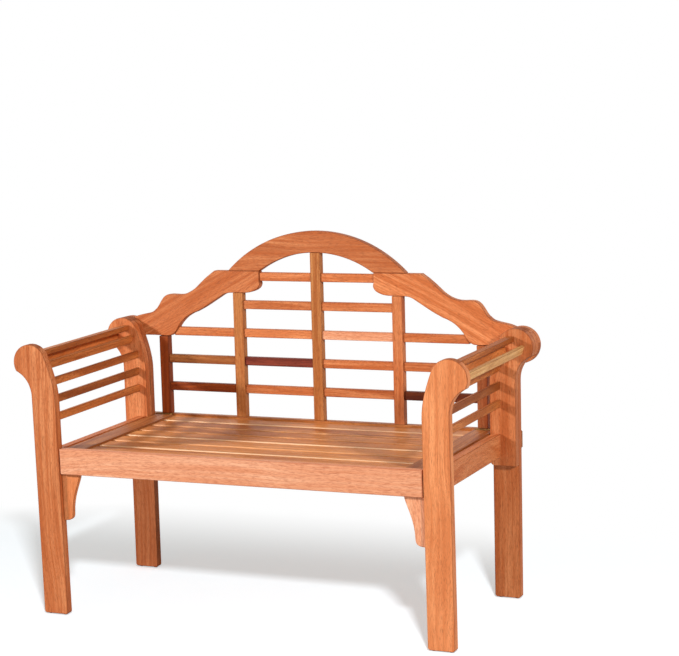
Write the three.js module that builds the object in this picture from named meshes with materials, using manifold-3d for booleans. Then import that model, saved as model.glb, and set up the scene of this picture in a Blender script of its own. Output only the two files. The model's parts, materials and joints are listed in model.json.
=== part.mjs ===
// A folding garden bench for two with scrolled arms and a raised centre to its back.
// Millimetres. +X is to the right as seen from the front, +Y runs to the back, +Z is up.
// The origin lies on the floor, at the middle of the bench's width and depth.
import * as THREE from "three";
import { mergeVertices } from "three/addons/utils/BufferGeometryUtils.js";
import Module from "manifold-3d";

const wasm = await Module();
wasm.setup();

// The clearance between pieces that touch.
const FIT_GAP = 0.3;

// Stock: legs, boards and the back's frame are sawn from one thickness.
const BOARD = 22;
const LEG_SPAN = 1140;
const LEG_WIDTH = 70;
const FOOT_CHAMFER = 4.5;
const GLIDE_HEIGHT = 2.5;
const GLIDE_RADIUS = 5.5;
const GLIDE_INSET = 13;
const GLIDE_ROOT = 3;

// Heights. Each counts up from the one above it in this list.
const SIDE_RAIL_TOP = 438;
const SCROLL_RISE = 224.2;
const SEAM_RISE = 177.8;
const ARCH_RISE = 109;

// The scroll at the head of each leg.
const SCROLL_RADIUS = 47.5;
const NECK_DROP = 88;
const INNER_NECK_DROP = 97;
const HOOK_DEG = -27;
const BROW_DEG = 149;

// The rear legs and the back lean backwards together. At the foot of the seat's hinges the
// back's bottom rail is this far from the seat's rear edge.
const SEAT_TO_BACK = 6.5;
const LEAN_DEG = 1.26;
const REAR_BOARD_DROP = 24;
const BOARD_CORNER = 12;

// The arms: a side rail and six slats each.
const ARM_RAIL_INSET = 65;
const ARM_RAIL_THICKNESS = 24;
const ARM_RAIL_HEIGHT = 60;
const ARM_SLAT_INSET = 49.5;
const ARM_SLAT_THICKNESS = 9;
const ARM_SLAT_HEIGHT = 20;
const ARM_SLAT_RISE = 69;
const ARM_SLAT_PITCH = 46.8;
const UPRIGHT_ARM_SLATS = 3;
const ROLLED_SLAT_WIDTH = 22;
const SHOULDER_OUT = 36;
const SHOULDER_TOP_OUT = 1;
const SHOULDER_TURN_DEG = 19;
const TOP_SLAT_WIDTH = 20;
const TOP_SLAT_THICKNESS = 14;
const TOP_SLAT_X_IN = 22;
const TOP_SLAT_Z_UP = 14;
const ROLL_SLAT_OUT = 26;
const ROLL_SLAT_TOP_UP = 4;
const ROLL_TURN_DEG = 17;

// The brackets that carry the front of the seat.
const BRACKET_WIDTH = 54;
const BRACKET_HEIGHT = 123;
const BRACKET_SETBACK = 10;

// The back: a bottom rail, uprights and short slats under a scrolled top.
const LOWER_RAIL_HEIGHT = 50.5;
const LOWER_RAIL_PROUD = 2;
const LOWER_RAIL_INSET = 4.5;
const RAIL_CORNER = 5;
const STILE_WIDTH = 28;
const BACK_SLAT_HEIGHT = 23;
const BACK_SLAT_THICKNESS = 16;
const TONGUE_HEIGHT = 12;
const TONGUE_THICKNESS = 8;
const TIP_HEIGHT = 5;
const ARCH_RADIUS = 362;
const ARCH_DEPTH = 57.3;
const ARCH_INNER_RADIUS = 294;

// The seat panel: an apron, two side rails, seven slats and two battens.
const SEAT_SIDE_GAP = 3;
const APRON_HEIGHT = 66.4;
const APRON_PROUD = 4;
const SEAT_SLATS = 7;
const SEAT_SLAT_WIDTH = 56;
const SEAT_SLAT_GAP = 14;
const SEAT_SLAT_THICKNESS = 20;
const SLAT_SINK = 4;
const BATTEN_X = 154.5;
const BATTEN_WIDTH = 42;
const BATTEN_HEIGHT = 22;
const BATTEN_STOP = 17;

// The brass hinges of the seat, on the rear ends of its side rails.
const SEAT_HINGE_LENGTH = 48;
const SEAT_HINGE_LEAF = 1.5;
const SEAT_HINGE_DROP = 20;
const BARREL_RADIUS = 2.75;
const PIN_RADIUS = 1.25;
const AXIS_BEHIND = 3.4;
const PIN_PROUD = 1;

// The brass hinges on which the arms swing, let in between rear leg and arm board.
// Their feet are measured up, or down, from the top of the seat's side rails.
const ARM_HINGE_RISES = [-56, 55];
const ARM_HINGE_HEIGHTS = [56, 66];
const ARM_HINGE_LEAF = 1.8;
const ARM_HINGE_REACH = 27;
const ARM_BARREL_RADIUS = 3.4;

// Curves are drawn with this many straight pieces.
const SCROLL_PIECES = 30;
const BEND_PIECES = 9;
const ARCH_PIECES = 36;
const ROUND_PIECES = 20;
const SERPENTINE_PIECES_PER_POINT = 3;

// Control points as shares of the box from a curve's start to its end.
const OUTER_NECK_SHARES = [[0, 0.39], [0.28, 0.79]];
const INNER_NECK_SHARES = [[0.36, 0.24], [1, 0.62]];
// The bracket's free edge, as shares of its width from the leg and of its height from the top.
const BRACKET_CURVE_SHARES = [[1, 0], [0.93, 0.19], [0.52, 0.45], [0.51, 0.84]];
const BRACKET_FOOT_SHARES = [[0.51, 0.84], [0.5, 0.95], [0.42, 1], [0, 1]];
// Where the stiles stand, as shares of the span over the legs, and where the back's slats
// lie, as shares of the height from the bottom rail to the seam under the arch.
const STILE_SHARES = [0.2037, 0.4074];
const ROW_SHARES = [0.16375, 0.35625, 0.54875, 0.74125, 0.93375];
// The scrolled rail: shares of the scroll's distance from the middle, and of the
// height from the scroll's centre to the seam.
const RAIL_TOP_SHARES = [
  [0.527, 1], [0.569, 0.904], [0.606, 0.803], [0.637, 0.716], [0.676, 0.648],
  [0.716, 0.62], [0.773, 0.623], [0.799, 0.595], [0.818, 0.533], [0.838, 0.435],
  [0.853, 0.384], [0.878, 0.334], [0.943, 0.289],
];
const RAIL_FOOT_SHARES = [
  [0.962, -0.024], [0.86, -0.02], [0.767, -0.012], [0.722, 0.168], [0.688, 0.272], [0.653, 0.336], [0.629, 0.365],
  [0.579, 0.449], [0.513, 0.578], [0.474, 0.648], [0.434, 0.665], [0.363, 0.668],
  [0.326, 0.693], [0.3, 0.74], [0.29, 0.8], [0.292, 0.843],
];
const RAIL_HOOK_DEG = -80;
const CREST_ROOT_DEG = 108;

const LEG_OUTER = LEG_SPAN / 2;
const LEG_INNER = LEG_OUTER - LEG_WIDTH;
const SCROLL_X = LEG_OUTER;
const SCROLL_Z = SIDE_RAIL_TOP + SCROLL_RISE;
const SEAM_Z = SCROLL_Z + SEAM_RISE;
const ARCH_TOP = SEAM_Z + ARCH_RISE;
const APRON_Z = SIDE_RAIL_TOP + APRON_PROUD - APRON_HEIGHT;
const ARM_RAIL_X = LEG_OUTER - ARM_RAIL_INSET;
const ARM_RAIL_Z = SIDE_RAIL_TOP - ARM_RAIL_HEIGHT;
const ARM_SLAT_X = LEG_OUTER - ARM_SLAT_INSET;
const REAR_BOARD_Z = ARM_RAIL_Z - REAR_BOARD_DROP;
const ARM_HINGE_ZS = ARM_HINGE_RISES.map((rise) => SIDE_RAIL_TOP + rise);
const LOWER_RAIL_TOP = SIDE_RAIL_TOP + LOWER_RAIL_PROUD;
const LOWER_RAIL_Z = LOWER_RAIL_TOP - LOWER_RAIL_HEIGHT;
const STILE_PITCH = LEG_SPAN * STILE_SHARES[0];
const LEAN = THREE.MathUtils.degToRad(LEAN_DEG);
const SEAT_HALF = LEG_INNER - SEAT_SIDE_GAP;
const SEAT_DEPTH = BOARD + SEAT_SLATS * (SEAT_SLAT_GAP + SEAT_SLAT_WIDTH);
const REAR_FACE_Y = SEAT_DEPTH + SEAT_TO_BACK - (BOARD + FIT_GAP) / Math.cos(LEAN)
  - (SIDE_RAIL_TOP - SEAT_HINGE_DROP) * Math.tan(LEAN);
const BACK_FRAME_Y = REAR_FACE_Y + BOARD + FIT_GAP;
const ARM_BOARD_Y = REAR_FACE_Y - FIT_GAP - BOARD;
const SEAT_SLAT_TOP = SIDE_RAIL_TOP - SLAT_SINK;
const SEAT_SLAT_BOTTOM = SEAT_SLAT_TOP - SEAT_SLAT_THICKNESS;
const SEAT_AXIS_Y = SEAT_DEPTH + AXIS_BEHIND;
const SEAT_AXIS_Z = SIDE_RAIL_TOP;
const DEPTH = REAR_FACE_Y + (2 * BOARD + FIT_GAP) * Math.cos(LEAN) + ARCH_TOP * Math.sin(LEAN);

const root = new THREE.Group();
const frame = new THREE.Group();
const seat = new THREE.Group();
root.add(frame, seat);

const colours = {
  wood: 0xc07a4c,
  apron: 0xd49468,
  slat: 0xa8663f,
  dark: 0x6e3524,
  pale: 0xb98c58,
  brass: 0xc9a24c,
};

function solid(group, name, geometry, colour) {
  const metal = colour === colours.brass;
  const material = new THREE.MeshStandardMaterial({
    color: colour,
    roughness: metal ? 0.35 : 0.6,
    metalness: metal ? 1 : 0,
  });
  const mesh = new THREE.Mesh(geometry, material);
  mesh.name = name;
  group.add(mesh);
}

// Shapes

function box(x0, x1, y0, y1, z0, z1) {
  const g = new THREE.BoxGeometry(x1 - x0, y1 - y0, z1 - z0);
  return g.translate((x0 + x1) / 2, (y0 + y1) / 2, (z0 + z1) / 2);
}

// A plate whose outline lies in the X-Z plane, from y0 backwards.
function plate(outline, y0, thickness) {
  const shape = new THREE.Shape(outline);
  const g = new THREE.ExtrudeGeometry(shape, { depth: thickness, bevelEnabled: false });
  return g.rotateX(Math.PI / 2).translate(0, y0 + thickness, 0);
}

function mirrored(outline, side) {
  return outline.map((p) => new THREE.Vector2(side * p.x, p.y));
}

function rod(radius, x0, x1, y, z) {
  const g = new THREE.CylinderGeometry(radius, radius, x1 - x0, ROUND_PIECES);
  return g.rotateZ(Math.PI / 2).translate((x0 + x1) / 2, y, z);
}

function post(radius, x, y, z0, z1) {
  const g = new THREE.CylinderGeometry(radius, radius, z1 - z0, ROUND_PIECES);
  return g.rotateX(Math.PI / 2).translate(x, y, (z0 + z1) / 2);
}

function toManifold(geometry) {
  const g = geometry.clone();
  g.deleteAttribute("normal");
  g.deleteAttribute("uv");
  const merged = mergeVertices(g, FIT_GAP / 1000);
  return new wasm.Manifold(new wasm.Mesh({
    numProp: 3,
    vertProperties: new Float32Array(merged.attributes.position.array),
    triVerts: new Uint32Array(merged.index.array),
  }));
}

function toGeometry(manifold) {
  const mesh = manifold.getMesh();
  const g = new THREE.BufferGeometry();
  g.setAttribute("position", new THREE.BufferAttribute(new Float32Array(mesh.vertProperties), 3));
  g.setIndex(new THREE.BufferAttribute(new Uint32Array(mesh.triVerts), 1));
  g.computeVertexNormals();
  return g;
}

function joined(first, ...others) {
  return toGeometry(others.reduce((sum, g) => sum.add(toManifold(g)), toManifold(first)));
}

function cut(first, ...tools) {
  return toGeometry(tools.reduce((left, g) => left.subtract(toManifold(g)), toManifold(first)));
}

// A cubic bend from a to b, its two control points given as shares of the box between.
function bend(a, b, shares) {
  const [c, d] = shares.map(([u, v]) => new THREE.Vector2(
    a.x + u * (b.x - a.x),
    a.y + v * (b.y - a.y),
  ));
  return new THREE.CubicBezierCurve(a, c, d, b).getPoints(BEND_PIECES);
}

function arc(x, z, radius, fromDeg, toDeg, pieces) {
  const a = THREE.MathUtils.degToRad(fromDeg);
  const b = THREE.MathUtils.degToRad(toDeg);
  return Array.from({ length: pieces + 1 }, (_, i) => {
    const t = a + (b - a) * (i / pieces);
    return new THREE.Vector2(x + radius * Math.cos(t), z + radius * Math.sin(t));
  });
}

// Leaves out points that repeat the one before.
function tidy(points) {
  const least = FIT_GAP / 10;
  return points.filter((p, i) => p.distanceTo(points[(i + 1) % points.length]) > least);
}

// The leg's outline on the right-hand side, with its scroll at the head.
function legOutline(footZ, footPoints) {
  const circle = arc(SCROLL_X, SCROLL_Z, SCROLL_RADIUS, HOOK_DEG, BROW_DEG, SCROLL_PIECES);
  const outerStart = new THREE.Vector2(LEG_OUTER, SCROLL_Z - NECK_DROP);
  const innerEnd = new THREE.Vector2(LEG_INNER, SCROLL_Z - INNER_NECK_DROP);
  return tidy([
    ...footPoints(footZ),
    ...bend(outerStart, circle[0], OUTER_NECK_SHARES),
    ...circle,
    ...bend(circle[circle.length - 1], innerEnd, INNER_NECK_SHARES),
  ]);
}

// A foot with both corners taken off.
function chamferedFoot(z) {
  return [
    new THREE.Vector2(LEG_INNER, z + FOOT_CHAMFER),
    new THREE.Vector2(LEG_INNER + FOOT_CHAMFER, z),
    new THREE.Vector2(LEG_OUTER - FOOT_CHAMFER, z),
    new THREE.Vector2(LEG_OUTER, z + FOOT_CHAMFER),
  ];
}

// The lower end of the arm board, rounded at its inner corner.
function roundedFoot(z) {
  return [
    ...arc(LEG_INNER + BOARD_CORNER, z + BOARD_CORNER, BOARD_CORNER, -180, -90, BEND_PIECES),
    new THREE.Vector2(LEG_OUTER, z),
  ];
}

function legGlides(side, y, footZ) {
  return [LEG_INNER + GLIDE_INSET, LEG_OUTER - GLIDE_INSET].map((x) =>
    post(GLIDE_RADIUS, side * x, y, 0, footZ + GLIDE_ROOT));
}

// Leaning

// Turns a geometry of the rear assembly back about the line where its front face meets the floor.
function lean(geometry) {
  return geometry
    .translate(0, -REAR_FACE_Y, 0)
    .rotateX(-LEAN)
    .translate(0, REAR_FACE_Y, 0);
}

// How far back the leaning plane that starts at y stands at height z.
function leaningY(y, z) {
  return REAR_FACE_Y + (y - REAR_FACE_Y) / Math.cos(LEAN) + z * Math.tan(LEAN);
}

// Cuts the foot of a leaning plate flat at height z above the floor.
function levelFoot(geometry, z) {
  const p = geometry.attributes.position;
  for (let i = 0; i < p.count; i++) {
    if (p.getZ(i) > z + FIT_GAP) continue;
    const rise = (p.getY(i) - REAR_FACE_Y) * Math.sin(LEAN);
    p.setZ(i, (z + rise) / Math.cos(LEAN));
  }
  return geometry;
}

// A bar of the given section that runs from the front leg to the leaning arm board.
function armBar(outline) {
  const y0 = BOARD + FIT_GAP;
  const g = plate(outline, y0, ARM_BOARD_Y - y0);
  const p = g.attributes.position;
  for (let i = 0; i < p.count; i++) {
    if (p.getY(i) < y0 + BOARD) continue;
    p.setY(i, leaningY(ARM_BOARD_Y, p.getZ(i)) - FIT_GAP);
  }
  return g;
}

function rectangle(x0, x1, z0, z1) {
  return [[x0, z0], [x1, z0], [x1, z1], [x0, z1]].map(([x, z]) => new THREE.Vector2(x, z));
}

// A rectangle hung by one top corner and turned by an angle about it.
function turnedRectangle(x, z, width, height, deg) {
  const turn = THREE.MathUtils.degToRad(deg);
  const pin = new THREE.Vector2(x, z);
  return rectangle(x, x + width, z - height, z).map((p) => p.rotateAround(pin, turn));
}

// The scrolled rail

function railOutline() {
  const at = ([u, v]) => new THREE.Vector2(u * SCROLL_X, SCROLL_Z + v * (SEAM_Z - SCROLL_Z));
  const circle = arc(SCROLL_X, SCROLL_Z, SCROLL_RADIUS, RAIL_HOOK_DEG, CREST_ROOT_DEG, SCROLL_PIECES);
  const crest = [...RAIL_TOP_SHARES.map(at), circle[circle.length - 1]].reverse();
  const foot = RAIL_FOOT_SHARES.map(at);
  const smooth = (points) => new THREE.SplineCurve(points)
    .getPoints(SERPENTINE_PIECES_PER_POINT * points.length);
  const inner = foot[foot.length - 1];
  return tidy([
    ...circle,
    ...smooth(crest),
    new THREE.Vector2(inner.x, SEAM_Z),
    ...smooth(foot).reverse(),
  ]);
}

// The least z, or x, that an outline reaches where its other coordinate lies between two values.
function leastAlong(outline, along, low, high) {
  const across = along === "x" ? "y" : "x";
  let least = Infinity;
  outline.forEach((a, i) => {
    const b = outline[(i + 1) % outline.length];
    for (let k = 0; k <= ROUND_PIECES; k++) {
      const p = a.clone().lerp(b, k / ROUND_PIECES);
      if (p[along] >= low && p[along] <= high) least = Math.min(least, p[across]);
    }
  });
  return least;
}

const RAIL = railOutline();

function railUnderside(x, halfWidth) {
  return leastAlong(RAIL, "x", x - halfWidth, x + halfWidth);
}

// How far out a slat whose bottom is at height z can reach under the scrolled rail.
function reachUnderRail(z) {
  let x = STILE_PITCH;
  const step = SEAT_SIDE_GAP;
  const end = LEG_SPAN * STILE_SHARES[1] - STILE_WIDTH / 2 - FIT_GAP;
  while (x < end && railUnderside(x, step) > z + TIP_HEIGHT) x += step;
  return Math.min(x, end);
}

// Sub-parts

function frontLegs() {
  for (const [side, word] of [[-1, "left"], [1, "right"]]) {
    const outline = legOutline(GLIDE_HEIGHT, chamferedFoot);
    const leg = plate(mirrored(outline, side), 0, BOARD);
    const glides = legGlides(side, BOARD / 2, GLIDE_HEIGHT);
    solid(frame, "front_leg_" + word, joined(leg, ...glides), colours.wood);
  }
}

// The pockets that take an arm hinge, in the rear leg and in the arm board.
function hingePockets(side) {
  const y = REAR_FACE_Y - FIT_GAP / 2;
  const half = ARM_HINGE_LEAF + FIT_GAP;
  return ARM_HINGE_ZS.flatMap((z, i) => {
    const z0 = z - FIT_GAP;
    const z1 = z + ARM_HINGE_HEIGHTS[i] + FIT_GAP;
    const x0 = side * (LEG_INNER + ARM_BARREL_RADIUS);
    const x1 = side * (LEG_INNER + ARM_BARREL_RADIUS + ARM_HINGE_REACH + FIT_GAP);
    const leaf = box(Math.min(x0, x1), Math.max(x0, x1), y - half, y + half, z0, z1);
    return [leaf, post(ARM_BARREL_RADIUS + FIT_GAP, x0, y, z0, z1)];
  });
}

function armHinge(side, z, height) {
  const y = REAR_FACE_Y - FIT_GAP / 2;
  const x0 = side * (LEG_INNER + ARM_BARREL_RADIUS);
  const x1 = x0 + side * ARM_HINGE_REACH;
  const leaf = box(
    Math.min(x0, x1), Math.max(x0, x1),
    y - ARM_HINGE_LEAF, y + ARM_HINGE_LEAF,
    z, z + height,
  );
  return lean(joined(leaf, post(ARM_BARREL_RADIUS, x0, y, z, z + height)));
}

function rearLegs() {
  for (const [side, word] of [[-1, "left"], [1, "right"]]) {
    const outline = legOutline(GLIDE_HEIGHT, chamferedFoot);
    const leg = levelFoot(plate(mirrored(outline, side), REAR_FACE_Y, BOARD), GLIDE_HEIGHT);
    const leaning = lean(cut(leg, ...hingePockets(side)));
    const glides = legGlides(side, REAR_FACE_Y + BOARD / 2, GLIDE_HEIGHT);
    solid(frame, "rear_leg_" + word, joined(leaning, ...glides), colours.wood);
  }
}

function armBoards() {
  for (const [side, word] of [[-1, "left"], [1, "right"]]) {
    const outline = legOutline(REAR_BOARD_Z, roundedFoot);
    const board = plate(mirrored(outline, side), ARM_BOARD_Y, BOARD);
    solid(frame, "arm_board_" + word, lean(cut(board, ...hingePockets(side))), colours.wood);
    ["lower", "upper"].forEach((place, i) => {
      const hinge = armHinge(side, ARM_HINGE_ZS[i], ARM_HINGE_HEIGHTS[i]);
      solid(frame, "arm_hinge_" + place + "_" + word, hinge, colours.brass);
    });
  }
}

function arms() {
  for (const [side, word] of [[-1, "left"], [1, "right"]]) {
    const bar = (name, outline, colour) =>
      solid(frame, name + "_" + word, armBar(mirrored(outline, side)), colour);
    const railTop = ARM_RAIL_Z + ARM_RAIL_HEIGHT;
    const railOuter = ARM_RAIL_X + ARM_RAIL_THICKNESS;
    bar("arm_rail", rectangle(ARM_RAIL_X, railOuter, ARM_RAIL_Z, railTop), colours.wood);
    for (let i = 0; i < UPRIGHT_ARM_SLATS; i++) {
      const z = SIDE_RAIL_TOP + ARM_SLAT_RISE + i * ARM_SLAT_PITCH;
      const x1 = ARM_SLAT_X + ARM_SLAT_THICKNESS;
      bar("arm_slat_" + (i + 1), rectangle(ARM_SLAT_X, x1, z, z + ARM_SLAT_HEIGHT), colours.slat);
    }
    const shoulder = turnedRectangle(
      SCROLL_X - SHOULDER_OUT, SCROLL_Z - SHOULDER_TOP_OUT,
      ARM_SLAT_THICKNESS, ROLLED_SLAT_WIDTH, SHOULDER_TURN_DEG,
    );
    bar("arm_slat_shoulder", shoulder, colours.slat);
    const topX = SCROLL_X - TOP_SLAT_X_IN;
    const topZ = SCROLL_Z + TOP_SLAT_Z_UP;
    const top = rectangle(topX, topX + TOP_SLAT_WIDTH, topZ, topZ + TOP_SLAT_THICKNESS);
    bar("arm_slat_top", top, colours.slat);
    const roll = turnedRectangle(
      -SCROLL_X - ROLL_SLAT_OUT, SCROLL_Z + ROLL_SLAT_TOP_UP,
      ARM_SLAT_THICKNESS, ROLLED_SLAT_WIDTH, ROLL_TURN_DEG,
    );
    bar("arm_slat_outer", mirrored(roll, -1), colours.pale);
  }
}

function seatBrackets() {
  const x1 = LEG_INNER - FIT_GAP;
  const z1 = APRON_Z - FIT_GAP;
  const at = ([u, v]) => new THREE.Vector2(x1 - u * BRACKET_WIDTH, z1 - v * BRACKET_HEIGHT);
  const bow = (shares) => new THREE.CubicBezierCurve(...shares.map(at)).getPoints(BEND_PIECES);
  const outline = tidy([
    new THREE.Vector2(x1, z1),
    ...bow(BRACKET_CURVE_SHARES),
    ...bow(BRACKET_FOOT_SHARES),
  ]);
  for (const [side, word] of [[-1, "left"], [1, "right"]]) {
    const bracket = plate(mirrored(outline, side), BRACKET_SETBACK, BOARD - BRACKET_SETBACK);
    solid(frame, "seat_bracket_" + word, bracket, colours.wood);
  }
}

function lowerBackRail() {
  const x = LEG_OUTER - LOWER_RAIL_INSET;
  const outline = [
    new THREE.Vector2(-x + RAIL_CORNER, LOWER_RAIL_Z),
    new THREE.Vector2(x - RAIL_CORNER, LOWER_RAIL_Z),
    new THREE.Vector2(x, LOWER_RAIL_Z + RAIL_CORNER),
    new THREE.Vector2(x, LOWER_RAIL_TOP - RAIL_CORNER),
    new THREE.Vector2(x - RAIL_CORNER, LOWER_RAIL_TOP),
    new THREE.Vector2(-x + RAIL_CORNER, LOWER_RAIL_TOP),
    new THREE.Vector2(-x, LOWER_RAIL_TOP - RAIL_CORNER),
    new THREE.Vector2(-x, LOWER_RAIL_Z + RAIL_CORNER),
  ];
  solid(frame, "back_bottom_rail", lean(plate(outline, BACK_FRAME_Y, BOARD)), colours.wood);
}

function archUnderside(x) {
  const centre = ARCH_TOP - ARCH_DEPTH - ARCH_INNER_RADIUS;
  return centre + Math.sqrt(ARCH_INNER_RADIUS ** 2 - x ** 2);
}

// The height of a back slat's bottom, counted up from the lowest row.
function rowZ(row) {
  return LOWER_RAIL_TOP + ROW_SHARES[row] * (SEAM_Z - LOWER_RAIL_TOP);
}

// The mortises through which the tongues of the three lower rows pass.
function mortises(x) {
  const y = BACK_FRAME_Y + BOARD / 2;
  const half = TONGUE_THICKNESS / 2 + FIT_GAP;
  return [0, 1, 2].map((row) => {
    const z = rowZ(row) + BACK_SLAT_HEIGHT / 2;
    const up = TONGUE_HEIGHT / 2 + FIT_GAP;
    return box(x - STILE_WIDTH, x + STILE_WIDTH, y - half, y + half, z - up, z + up);
  });
}

function stiles() {
  const half = STILE_WIDTH / 2;
  const z0 = LOWER_RAIL_TOP + FIT_GAP;
  const names = ["outer_left", "inner_left", "middle", "inner_right", "outer_right"];
  names.forEach((name, i) => {
    const x = [-STILE_SHARES[1], -STILE_SHARES[0], 0, ...STILE_SHARES][i] * LEG_SPAN;
    const top = i === 2
      ? archUnderside(half) - FIT_GAP
      : railUnderside(Math.abs(x), half) - FIT_GAP;
    const bar = box(x - half, x + half, BACK_FRAME_Y, BACK_FRAME_Y + BOARD, z0, top);
    const outer = i === 0 || i === names.length - 1;
    const stile = outer ? bar : cut(bar, ...mortises(x));
    solid(frame, "back_stile_" + name, lean(stile), i === 0 ? colours.dark : colours.wood);
  });
}

// One of the three lower rows: the slats of its bays, joined by tongues inside the stiles.
function longRow(row, end) {
  const y = BACK_FRAME_Y + BOARD / 2;
  const deep = BACK_SLAT_THICKNESS / 2;
  const thin = TONGUE_THICKNESS / 2;
  const z = rowZ(row);
  const tongueZ = z + (BACK_SLAT_HEIGHT - TONGUE_HEIGHT) / 2;
  const half = STILE_WIDTH / 2 + FIT_GAP;
  const edges = [-end, -STILE_PITCH, 0, STILE_PITCH, end];
  const bays = [0, 1, 2, 3].map((i) => {
    const x0 = edges[i] + (i > 0 ? half : 0);
    const x1 = edges[i + 1] - (i < 3 ? half : 0);
    return box(x0, x1, y - deep, y + deep, z, z + BACK_SLAT_HEIGHT);
  });
  const reach = STILE_PITCH + 2 * half;
  return joined(
    box(-reach, reach, y - thin, y + thin, tongueZ, tongueZ + TONGUE_HEIGHT),
    ...bays,
  );
}

function backSlats() {
  const y = BACK_FRAME_Y + BOARD / 2;
  const deep = BACK_SLAT_THICKNESS / 2;
  const half = STILE_WIDTH / 2 + FIT_GAP;
  const stop = LEG_SPAN * STILE_SHARES[1] - half;
  ["bottom", "second", "third"].forEach((name, row) => {
    const z = rowZ(row);
    const end = Math.min(stop, reachUnderRail(z));
    const tools = [-1, 1].map((side) =>
      plate(mirrored(RAIL, side), BACK_FRAME_Y, BOARD).translate(-side * FIT_GAP, 0, -FIT_GAP));
    const slats = cut(longRow(row, end), ...tools);
    solid(frame, "back_slats_" + name + "_row", lean(slats), colours.wood);
  });
  [3, 4].forEach((row, i) => {
    const z = rowZ(row);
    const z1 = z + BACK_SLAT_HEIGHT;
    const railEnd = leastAlong(RAIL, "y", z - FIT_GAP, z1 + FIT_GAP) - FIT_GAP;
    const end = Math.min(railEnd, STILE_PITCH - half);
    for (const [side, word] of [[-1, "left"], [1, "right"]]) {
      const xs = [side * half, side * end].sort((a, b) => a - b);
      const slat = box(xs[0], xs[1], y - deep, y + deep, z, z1);
      solid(frame, ["back_slat_fourth_", "back_slat_top_"][i] + word, lean(slat), colours.wood);
    }
  });
}

function scrolledRails() {
  for (const [side, word] of [[-1, "left"], [1, "right"]]) {
    const rail = plate(mirrored(RAIL, side), BACK_FRAME_Y, BOARD);
    solid(frame, "back_scrolled_rail_" + word, lean(rail), colours.wood);
  }
}

function arch() {
  const z = SEAM_Z + FIT_GAP;
  const outerCentre = ARCH_TOP - ARCH_RADIUS;
  const innerCentre = ARCH_TOP - ARCH_DEPTH - ARCH_INNER_RADIUS;
  const foot = (centre, radius) =>
    THREE.MathUtils.radToDeg(Math.asin((z - centre) / radius));
  const a = foot(outerCentre, ARCH_RADIUS);
  const b = foot(innerCentre, ARCH_INNER_RADIUS);
  const outline = [
    ...arc(0, outerCentre, ARCH_RADIUS, a, 180 - a, ARCH_PIECES),
    ...arc(0, innerCentre, ARCH_INNER_RADIUS, 180 - b, b, ARCH_PIECES),
  ];
  solid(frame, "back_arch", lean(plate(outline, BACK_FRAME_Y, BOARD)), colours.wood);
}

function seatPanel() {
  const apron = box(-SEAT_HALF, SEAT_HALF, 0, BOARD, APRON_Z, APRON_Z + APRON_HEIGHT);
  solid(seat, "seat_apron", apron, colours.apron);
  const railInner = SEAT_HALF - SEAT_SLAT_WIDTH;
  const y0 = BOARD + FIT_GAP;
  for (const [side, word] of [[-1, "left"], [1, "right"]]) {
    const xs = [side * railInner, side * SEAT_HALF].sort((a, b) => a - b);
    const rail = box(xs[0], xs[1], y0, SEAT_DEPTH, SIDE_RAIL_TOP - BOARD, SIDE_RAIL_TOP);
    solid(seat, "seat_side_rail_" + word, rail, colours.slat);
    const x = side * BATTEN_X;
    const half = BATTEN_WIDTH / 2;
    const z1 = SEAT_SLAT_BOTTOM - FIT_GAP;
    const end = SEAT_DEPTH - BATTEN_STOP;
    const batten = box(x - half, x + half, y0, end, z1 - BATTEN_HEIGHT, z1);
    solid(seat, "seat_batten_" + word, batten, colours.slat);
  }
  for (let i = 0; i < SEAT_SLATS; i++) {
    const front = BOARD + SEAT_SLAT_GAP + i * (SEAT_SLAT_GAP + SEAT_SLAT_WIDTH);
    const x = railInner - FIT_GAP;
    const slat = box(-x, x, front, front + SEAT_SLAT_WIDTH, SEAT_SLAT_BOTTOM, SEAT_SLAT_TOP);
    solid(seat, "seat_slat_" + (i + 1), slat, colours.slat);
  }
}

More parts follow.
